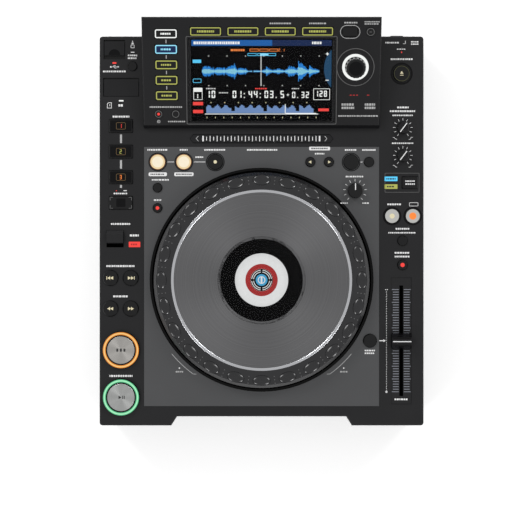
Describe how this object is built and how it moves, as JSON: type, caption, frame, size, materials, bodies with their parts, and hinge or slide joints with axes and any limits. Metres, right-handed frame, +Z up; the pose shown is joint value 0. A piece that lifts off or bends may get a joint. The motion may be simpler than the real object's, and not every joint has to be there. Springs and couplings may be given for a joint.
{
  "type": "tabletop dj disc player",
  "caption": "Tabletop disc player for mixing: dimpled jog wheel with press plate, tilted display head, tempo fader, cue and play keys, slot-in drive and rear sockets.",
  "frame": {"origin": "on the table, under the middle of the outline", "axes": "+Z up, +X to the user's right, the front edge faces -Y and the display head rises at +Y"},
  "size_m": [0.3104, 0.3872, 0.108],
  "materials": {
    "board_green": "circuit board",
    "case_black": "fine matte moulding",
    "deck_grey": "satin grey sheet",
    "dial_white": "lit dial",
    "drive_steel": "plated sheet",
    "gear_white": "moulded gear",
    "glass_clear": "clear",
    "head_black": "satin moulding",
    "key_black": "satin key",
    "key_lit": "lit translucent key",
    "key_metal": "spun metal face in a lit ring",
    "plate_silver": "spun satin",
    "rubber_black": "matte",
    "screen": "lit panel",
    "socket_metal": "plated",
    "steel_black": "black coated sheet",
    "wheel_black": "gloss moulding"
  },
  "bodies": {
    "deck": {"chassis_tray": "steel_black", "top_case": "case_black", "deck_plate": "deck_grey", "feet": "rubber_black", "needle_strip": "head_black", "head_housing": "head_black", "display_glass": "glass_clear", "lcd_module": "screen", "rear_panel": "steel_black", "rear_connectors": "socket_metal", "drive_frame": "drive_steel", "circuit_boards": "board_green", "media_sockets": "key_black", "jog_base": "case_black", "jog_display": "dial_white", "fader_unit": "drive_steel"},
    "jog_wheel": {"jog_wheel": "wheel_black"},
    "jog_plate": {"jog_plate": "plate_silver", "jog_window": "glass_clear"},
    "encoder_pinion": {"encoder_pinion": "gear_white"},
    "spindle_hub": {"spindle_hub": "drive_steel"},
    "optical_pickup": {"optical_pickup": "drive_steel"},
    "loop_in_button": {"loop_in_button": "key_lit"},
    "loop_out_button": {"loop_out_button": "key_lit"},
    "reloop_button": {"reloop_button": "key_black"},
    "loop_mode_button": {"loop_mode_button": "key_black"},
    "slip_button": {"slip_button": "key_black"},
    "delete_button": {"delete_button": "key_black"},
    "memory_button": {"memory_button": "key_black"},
    "reset_button": {"reset_button": "key_black"},
    "usb_stop_button": {"usb_stop_button": "key_black"},
    "track_back_button": {"track_back_button": "key_black"},
    "track_next_button": {"track_next_button": "key_black"},
    "search_back_button": {"search_back_button": "key_black"},
    "search_next_button": {"search_next_button": "key_black"},
    "eject_button": {"eject_button": "key_black"},
    "sync_button": {"sync_button": "key_lit"},
    "master_button": {"master_button": "key_lit"},
    "range_button": {"range_button": "key_black"},
    "tempo_hold_button": {"tempo_hold_button": "key_black"},
    "call_keys": {"call_keys": "key_black"},
    "cue_button": {"cue_button": "key_metal"},
    "play_button": {"play_button": "key_metal"},
    "hot_cue_button_1": {"hot_cue_button_1": "key_black"},
    "hot_cue_button_2": {"hot_cue_button_2": "key_black"},
    "hot_cue_button_3": {"hot_cue_button_3": "key_black"},
    "record_button": {"record_button": "key_black"},
    "jog_mode_button": {"jog_mode_button": "key_black"},
    "source_keys": {"source_keys": "key_black"},
    "menu_keys": {"menu_keys": "key_black"},
    "back_tag_keys": {"back_tag_keys": "key_black"},
    "power_button": {"power_button": "key_black"},
    "brake_knob": {"brake_knob": "key_black"},
    "release_knob": {"release_knob": "key_black"},
    "jog_adjust_knob": {"jog_adjust_knob": "key_black"},
    "selector_knob": {"selector_knob": "key_black"},
    "fader_cap": {"fader_cap": "key_black"},
    "direction_lever": {"direction_lever": "key_black"},
    "usb_cover": {"usb_cover": "key_black"},
    "card_door": {"card_door": "key_black"}
  },
  "joints": [
    {"name": "jog_spin", "type": "hinge", "parent": "deck", "child": "jog_wheel", "pos_m": [0, -0.0539, 0.062], "axis": [0, 0, 1], "continuous": true},
    {"name": "jog_plate_press", "type": "slide", "parent": "jog_wheel", "child": "jog_plate", "axis": [0, 0, -1], "range_m": [0, 0.0004], "stiffness_N_per_m": 8000, "springref_m": -0.0005},
    {"name": "encoder_spin", "type": "hinge", "parent": "deck", "child": "encoder_pinion", "pos_m": [-0.0672, -0.0539, 0.062], "axis": [0, 0, 1], "continuous": true},
    {"name": "spindle_spin", "type": "hinge", "parent": "deck", "child": "spindle_hub", "pos_m": [0, -0.1166, 0.017], "axis": [0, 0, 1], "continuous": true},
    {"name": "pickup_slide", "type": "slide", "parent": "deck", "child": "optical_pickup", "axis": [0, 1, 0], "range_m": [0, 0.03]},
    {"name": "loop_in_button_press", "type": "slide", "parent": "deck", "child": "loop_in_button", "axis": [0, 0, -1], "range_m": [0, 0.0008], "stiffness_N_per_m": 200, "springref_m": -0.001},
    {"name": "loop_out_button_press", "type": "slide", "parent": "deck", "child": "loop_out_button", "axis": [0, 0, -1], "range_m": [0, 0.0008], "stiffness_N_per_m": 200, "springref_m": -0.001},
    {"name": "reloop_button_press", "type": "slide", "parent": "deck", "child": "reloop_button", "axis": [0, 0, -1], "range_m": [0, 0.0008], "stiffness_N_per_m": 200, "springref_m": -0.001},
    {"name": "loop_mode_button_press", "type": "slide", "parent": "deck", "child": "loop_mode_button", "axis": [0, 0, -1], "range_m": [0, 0.0008], "stiffness_N_per_m": 200, "springref_m": -0.001},
    {"name": "slip_button_press", "type": "slide", "parent": "deck", "child": "slip_button", "axis": [0, 0, -1], "range_m": [0, 0.0008], "stiffness_N_per_m": 200, "springref_m": -0.001},
    {"name": "delete_button_press", "type": "slide", "parent": "deck", "child": "delete_button", "axis": [0, 0, -1], "range_m": [0, 0.0008], "stiffness_N_per_m": 200, "springref_m": -0.001},
    {"name": "memory_button_press", "type": "slide", "parent": "deck", "child": "memory_button", "axis": [0, 0, -1], "range_m": [0, 0.0008], "stiffness_N_per_m": 200, "springref_m": -0.001},
    {"name": "reset_button_press", "type": "slide", "parent": "deck", "child": "reset_button", "axis": [0, 0, -1], "range_m": [0, 0.0008], "stiffness_N_per_m": 200, "springref_m": -0.001},
    {"name": "usb_stop_button_press", "type": "slide", "parent": "deck", "child": "usb_stop_button", "axis": [0, 0, -1], "range_m": [0, 0.0008], "stiffness_N_per_m": 200, "springref_m": -0.001},
    {"name": "track_back_button_press", "type": "slide", "parent": "deck", "child": "track_back_button", "axis": [0, 0, -1], "range_m": [0, 0.0008], "stiffness_N_per_m": 200, "springref_m": -0.001},
    {"name": "track_next_button_press", "type": "slide", "parent": "deck", "child": "track_next_button", "axis": [0, 0, -1], "range_m": [0, 0.0008], "stiffness_N_per_m": 200, "springref_m": -0.001},
    {"name": "search_back_button_press", "type": "slide", "parent": "deck", "child": "search_back_button", "axis": [0, 0, -1], "range_m": [0, 0.0008], "stiffness_N_per_m": 200, "springref_m": -0.001},
    {"name": "search_next_button_press", "type": "slide", "parent": "deck", "child": "search_next_button", "axis": [0, 0, -1], "range_m": [0, 0.0008], "stiffness_N_per_m": 200, "springref_m": -0.001},
    {"name": "eject_button_press", "type": "slide", "parent": "deck", "child": "eject_button", "axis": [0, 0, -1], "range_m": [0, 0.0008], "stiffness_N_per_m": 200, "springref_m": -0.001},
    {"name": "sync_button_press", "type": "slide", "parent": "deck", "child": "sync_button", "axis": [0, 0, -1], "range_m": [0, 0.0008], "stiffness_N_per_m": 200, "springref_m": -0.001},
    {"name": "master_button_press", "type": "slide", "parent": "deck", "child": "master_button", "axis": [0, 0, -1], "range_m": [0, 0.0008], "stiffness_N_per_m": 200, "springref_m": -0.001},
    {"name": "range_button_press", "type": "slide", "parent": "deck", "child": "range_button", "axis": [0, 0, -1], "range_m": [0, 0.0008], "stiffness_N_per_m": 200, "springref_m": -0.001},
    {"name": "tempo_hold_button_press", "type": "slide", "parent": "deck", "child": "tempo_hold_button", "axis": [0, 0, -1], "range_m": [0, 0.0008], "stiffness_N_per_m": 200, "springref_m": -0.001},
    {"name": "call_keys_press", "type": "slide", "parent": "deck", "child": "call_keys", "axis": [0, 0, -1], "range_m": [0, 0.0008], "stiffness_N_per_m": 200, "springref_m": -0.001},
    {"name": "cue_button_press", "type": "slide", "parent": "deck", "child": "cue_button", "axis": [0, 0, -1], "range_m": [0, 0.001], "stiffness_N_per_m": 300, "springref_m": -0.001},
    {"name": "play_button_press", "type": "slide", "parent": "deck", "child": "play_button", "axis": [0, 0, -1], "range_m": [0, 0.001], "stiffness_N_per_m": 300, "springref_m": -0.001},
    {"name": "hot_cue_button_1_press", "type": "slide", "parent": "deck", "child": "hot_cue_button_1", "axis": [0, 0, -1], "range_m": [0, 0.0008], "stiffness_N_per_m": 200, "springref_m": -0.001},
    {"name": "hot_cue_button_2_press", "type": "slide", "parent": "deck", "child": "hot_cue_button_2", "axis": [0, 0, -1], "range_m": [0, 0.0008], "stiffness_N_per_m": 200, "springref_m": -0.001},
    {"name": "hot_cue_button_3_press", "type": "slide", "parent": "deck", "child": "hot_cue_button_3", "axis": [0, 0, -1], "range_m": [0, 0.0008], "stiffness_N_per_m": 200, "springref_m": -0.001},
    {"name": "record_button_press", "type": "slide", "parent": "deck", "child": "record_button", "axis": [0, 0, -1], "range_m": [0, 0.0008], "stiffness_N_per_m": 200, "springref_m": -0.001},
    {"name": "jog_mode_button_press", "type": "slide", "parent": "deck", "child": "jog_mode_button", "axis": [0, 0, -1], "range_m": [0, 0.0008], "stiffness_N_per_m": 200, "springref_m": -0.001},
    {"name": "source_keys_press", "type": "slide", "parent": "deck", "child": "source_keys", "axis": [0, 0.2516, -0.9678], "range_m": [0, 0.0006], "stiffness_N_per_m": 200, "springref_m": -0.001},
    {"name": "menu_keys_press", "type": "slide", "parent": "deck", "child": "menu_keys", "axis": [0, 0.2516, -0.9678], "range_m": [0, 0.0006], "stiffness_N_per_m": 200, "springref_m": -0.001},
    {"name": "back_tag_keys_press", "type": "slide", "parent": "deck", "child": "back_tag_keys", "axis": [0, 0.2516, -0.9678], "range_m": [0, 0.0006], "stiffness_N_per_m": 200, "springref_m": -0.001},
    {"name": "power_button_press", "type": "slide", "parent": "deck", "child": "power_button", "axis": [0, -1, 0], "range_m": [0, 0.003], "stiffness_N_per_m": 300, "springref_m": -0.001},
    {"name": "brake_knob_turn", "type": "hinge", "parent": "deck", "child": "brake_knob", "pos_m": [0.1353, 0.0915, 0.076], "axis": [0, 0, 1], "range_deg": [-108, 182]},
    {"name": "release_knob_turn", "type": "hinge", "parent": "deck", "child": "release_knob", "pos_m": [0.1353, 0.0648, 0.076], "axis": [0, 0, 1], "range_deg": [-108, 182]},
    {"name": "jog_adjust_knob_turn", "type": "hinge", "parent": "deck", "child": "jog_adjust_knob", "pos_m": [0.0895, 0.0313, 0.076], "axis": [0, 0, 1], "range_deg": [-145, 145]},
    {"name": "selector_turn", "type": "hinge", "parent": "deck", "child": "selector_knob", "pos_m": [0.0886, 0.14741, 0.09649], "axis": [0, -0.2516, 0.9678], "continuous": true},
    {"name": "fader_slide", "type": "slide", "parent": "deck", "child": "fader_cap", "axis": [0, 1, 0], "range_m": [-0.049, 0.049]},
    {"name": "lever_tilt", "type": "hinge", "parent": "deck", "child": "direction_lever", "pos_m": [-0.14025, -0.0147, 0.068], "axis": [1, 0, 0], "range_deg": [0, 25]},
    {"name": "usb_cover_hinge", "type": "hinge", "parent": "deck", "child": "usb_cover", "pos_m": [-0.1409, 0.1729, 0.0746], "axis": [-1, 0, 0], "range_deg": [0, 90]},
    {"name": "card_door_hinge", "type": "hinge", "parent": "deck", "child": "card_door", "pos_m": [-0.1344, 0.1366, 0.0746], "axis": [-1, 0, 0], "range_deg": [0, 90]}
  ],
  "couplings": [
    {"joint": "encoder_spin", "follows": "jog_spin", "ratio": -6}
  ]
}
